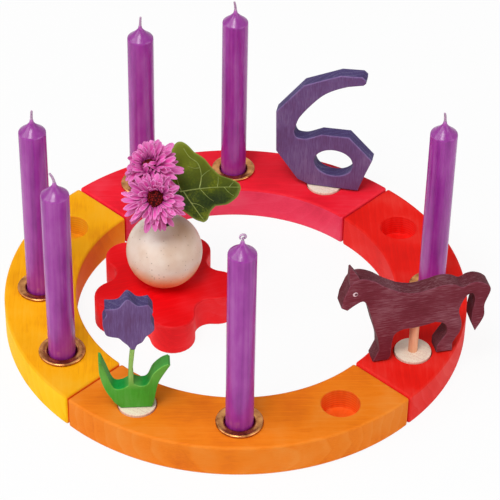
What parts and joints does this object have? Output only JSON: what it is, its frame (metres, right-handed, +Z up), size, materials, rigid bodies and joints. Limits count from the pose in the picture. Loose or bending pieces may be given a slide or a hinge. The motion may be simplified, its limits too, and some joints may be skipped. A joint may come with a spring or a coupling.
{
  "type": "wooden birthday ring",
  "caption": "Circle of loose stained wooden quarter segments with sockets for candles in brass cups and plug-in sawn figures, round a ball vase of flowers on a lobed stand.",
  "frame": {"origin": "on the table top, at the centre of the whole arrangement's outline seen from above", "axes": "+Z up, -Y towards the orange segment, which is the front, +X towards the red segment"},
  "size_m": [0.2488, 0.2436, 0.139],
  "materials": {
    "orange_stained_wood": "stained and oiled, satin",
    "red_stained_wood": "stained and oiled, satin",
    "crimson_stained_wood": "stained and oiled, satin",
    "yellow_stained_wood": "stained and oiled, satin",
    "violet_stained_wood": "stained, matt",
    "plum_stained_wood": "stained, matt",
    "green_stained_wood": "stained, matt",
    "natural_wood": "plain pale wood, sanded",
    "cup_brass": "polished, slightly worn",
    "purple_wax": "smooth wax",
    "cotton_wick": "waxed cotton",
    "speckled_glaze": "cream glaze with brown specks",
    "pink_petals": "soft, matt",
    "plant_stem": "matt",
    "ivy_green": "waxy leaf"
  },
  "bodies": {
    "front_segment": {"segment_orange": "orange_stained_wood"},
    "right_segment": {"segment_red": "red_stained_wood"},
    "back_segment": {"segment_crimson": "crimson_stained_wood"},
    "left_segment": {"segment_yellow": "yellow_stained_wood"},
    "front_cup": {"cup_front": "cup_brass"},
    "right_cup": {"cup_right": "cup_brass"},
    "back_cup": {"cup_back": "cup_brass"},
    "back_left_cup": {"cup_back_left": "cup_brass"},
    "left_cup": {"cup_left": "cup_brass"},
    "left_front_cup": {"cup_left_front": "cup_brass"},
    "front_candle": {"candle_front": "purple_wax", "wick_front": "cotton_wick"},
    "right_candle": {"candle_right": "purple_wax", "wick_right": "cotton_wick"},
    "back_candle": {"candle_back": "purple_wax", "wick_back": "cotton_wick"},
    "back_left_candle": {"candle_back_left": "purple_wax", "wick_back_left": "cotton_wick"},
    "left_candle": {"candle_left": "purple_wax", "wick_left": "cotton_wick"},
    "left_front_candle": {"candle_left_front": "purple_wax", "wick_left_front": "cotton_wick"},
    "number_plug": {"six_plug": "natural_wood"},
    "number_figure": {"number_six": "violet_stained_wood", "six_peg": "natural_wood"},
    "blossom_plug": {"flower_plug": "natural_wood"},
    "blossom_figure": {"flower_leaves": "green_stained_wood", "flower_head": "violet_stained_wood", "flower_peg": "natural_wood"},
    "pony_plug": {"horse_plug": "natural_wood"},
    "pony_figure": {"horse_body": "plum_stained_wood", "horse_dowel": "natural_wood"},
    "stand": {"flower_stand": "red_stained_wood"},
    "vase": {"ball_vase": "speckled_glaze"},
    "bouquet": {"bloom_upper": "pink_petals", "bloom_lower": "pink_petals", "stem_upper": "plant_stem", "stem_lower": "plant_stem", "ivy_leaf": "ivy_green", "ivy_stalk": "plant_stem"}
  },
  "joints": [
    {"name": "right_segment_out", "type": "slide", "parent": "front_segment", "child": "right_segment", "axis": [1, 0, 0], "range_m": [0, 0.06]},
    {"name": "back_segment_out", "type": "slide", "parent": "front_segment", "child": "back_segment", "axis": [0, 1, 0], "range_m": [0, 0.06]},
    {"name": "left_segment_out", "type": "slide", "parent": "front_segment", "child": "left_segment", "axis": [-1, 0, 0], "range_m": [0, 0.06]},
    {"name": "front_cup_lift", "type": "slide", "parent": "front_segment", "child": "front_cup", "axis": [0, 0, 1], "range_m": [0, 0.02]},
    {"name": "right_cup_lift", "type": "slide", "parent": "right_segment", "child": "right_cup", "axis": [0, 0, 1], "range_m": [0, 0.02]},
    {"name": "back_cup_lift", "type": "slide", "parent": "back_segment", "child": "back_cup", "axis": [0, 0, 1], "range_m": [0, 0.02]},
    {"name": "back_left_cup_lift", "type": "slide", "parent": "back_segment", "child": "back_left_cup", "axis": [0, 0, 1], "range_m": [0, 0.02]},
    {"name": "left_cup_lift", "type": "slide", "parent": "left_segment", "child": "left_cup", "axis": [0, 0, 1], "range_m": [0, 0.02]},
    {"name": "left_front_cup_lift", "type": "slide", "parent": "left_segment", "child": "left_front_cup", "axis": [0, 0, 1], "range_m": [0, 0.02]},
    {"name": "front_candle_lift", "type": "slide", "parent": "front_cup", "child": "front_candle", "axis": [0, 0, 1], "range_m": [0, 0.02]},
    {"name": "right_candle_lift", "type": "slide", "parent": "right_cup", "child": "right_candle", "axis": [0, 0, 1], "range_m": [0, 0.02]},
    {"name": "back_candle_lift", "type": "slide", "parent": "back_cup", "child": "back_candle", "axis": [0, 0, 1], "range_m": [0, 0.02]},
    {"name": "back_left_candle_lift", "type": "slide", "parent": "back_left_cup", "child": "back_left_candle", "axis": [0, 0, 1], "range_m": [0, 0.02]},
    {"name": "left_candle_lift", "type": "slide", "parent": "left_cup", "child": "left_candle", "axis": [0, 0, 1], "range_m": [0, 0.02]},
    {"name": "left_front_candle_lift", "type": "slide", "parent": "left_front_cup", "child": "left_front_candle", "axis": [0, 0, 1], "range_m": [0, 0.02]},
    {"name": "number_plug_lift", "type": "slide", "parent": "back_segment", "child": "number_plug", "axis": [0, 0, 1], "range_m": [0, 0.02]},
    {"name": "blossom_plug_lift", "type": "slide", "parent": "front_segment", "child": "blossom_plug", "axis": [0, 0, 1], "range_m": [0, 0.02]},
    {"name": "pony_plug_lift", "type": "slide", "parent": "right_segment", "child": "pony_plug", "axis": [0, 0, 1], "range_m": [0, 0.02]},
    {"name": "number_turn", "type": "hinge", "parent": "number_plug", "child": "number_figure", "pos_m": [0.04807, 0.08948, 0.0193], "axis": [0, 0, 1], "continuous": true},
    {"name": "blossom_turn", "type": "hinge", "parent": "blossom_plug", "child": "blossom_figure", "pos_m": [-0.05318, -0.08948, 0.0193], "axis": [0, 0, 1], "continuous": true},
    {"name": "pony_turn", "type": "hinge", "parent": "pony_plug", "child": "pony_figure", "pos_m": [0.08693, -0.05063, 0.0193], "axis": [0, 0, 1], "continuous": true},
    {"name": "stand_move", "type": "slide", "parent": "front_segment", "child": "stand", "axis": [1, 0, 0], "range_m": [0, 0.07]},
    {"name": "vase_lift", "type": "slide", "parent": "stand", "child": "vase", "axis": [0, 0, 1], "range_m": [0, 0.06]},
    {"name": "bouquet_lift", "type": "slide", "parent": "vase", "child": "bouquet", "axis": [0, 0, 1], "range_m": [0, 0.05]}
  ]
}
